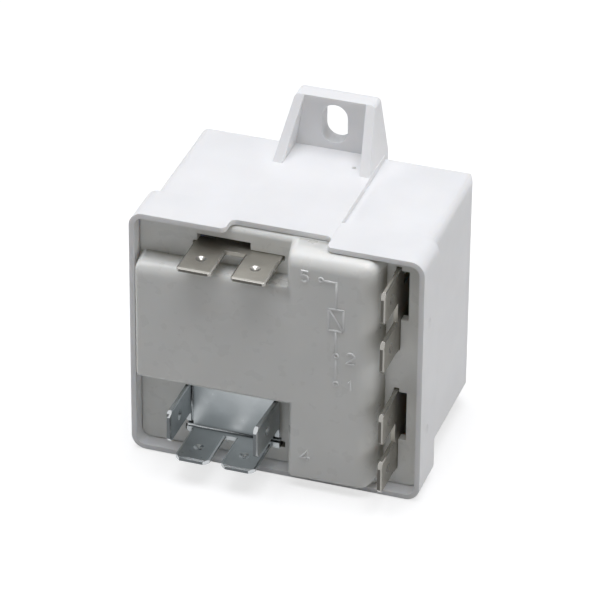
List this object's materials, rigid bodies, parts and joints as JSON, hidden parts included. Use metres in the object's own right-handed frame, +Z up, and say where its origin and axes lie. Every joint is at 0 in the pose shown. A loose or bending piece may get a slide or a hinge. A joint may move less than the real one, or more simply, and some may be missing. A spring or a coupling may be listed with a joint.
{
  "type": "potential relay",
  "caption": "Motor-start potential relay: white moulded case with a slotted mounting ear, quick-connect tabs in front, and coil, armature and contact inside.",
  "frame": {"origin": "centre of the flat rear face, which is the mounting face", "axes": "+Y out of the rear face towards the panel, -Y towards the terminals, +Z up towards the ear, +X to the right seen from the front"},
  "size_m": [0.0536, 0.0446, 0.0585],
  "materials": {
    "case_plastic": "satin",
    "insert_plastic": "satin",
    "nickel_plate": "satin",
    "zinc_plate": "satin",
    "magnet_steel": "satin",
    "bobbin_plastic": "matte",
    "copper": "satin",
    "tape": "gloss",
    "red_sleeve": "gloss",
    "black_sleeve": "gloss",
    "brass": "satin",
    "silver": "satin",
    "spring_steel": "satin",
    "phenolic": "matte"
  },
  "bodies": {
    "relay": {"housing": "case_plastic", "front_insert": "insert_plastic", "terminal_coil": "nickel_plate", "terminal_upper": "nickel_plate", "terminal_lower": "nickel_plate", "terminal_tie": "zinc_plate", "magnet_frame": "magnet_steel", "frame_screws": "spring_steel", "core": "magnet_steel", "shading_ring": "copper", "bobbin": "bobbin_plastic", "winding": "copper", "winding_tape": "tape", "coil_lead_left": "red_sleeve", "coil_lead_right": "black_sleeve", "return_spring": "spring_steel", "fixed_contact": "silver", "pivot_pin": "spring_steel", "contact_spring": "spring_steel"},
    "armature": {"armature": "magnet_steel", "stop_shim": "brass", "pusher": "phenolic", "pusher_rivets": "brass"},
    "contact": {"contact_arm": "brass", "moving_contact": "silver"}
  },
  "joints": [
    {"name": "armature_tilt", "type": "hinge", "parent": "relay", "child": "armature", "pos_m": [-0.0179, -0.0165, 0.01035], "axis": [0, 1, 0], "range_deg": [0, 4.5], "stiffness_Nm_per_rad": 0.005, "springref_deg": -28.65, "deforming": ["return_spring"]},
    {"name": "contact_swing", "type": "hinge", "parent": "relay", "child": "contact", "pos_m": [0.01903, -0.0165, 0.0025], "axis": [0, 1, 0], "range_deg": [-11, 0], "deforming": ["contact_spring"]}
  ],
  "couplings": [
    {"joint": "contact_swing", "follows": "armature_tilt", "ratio": -2.42}
  ]
}
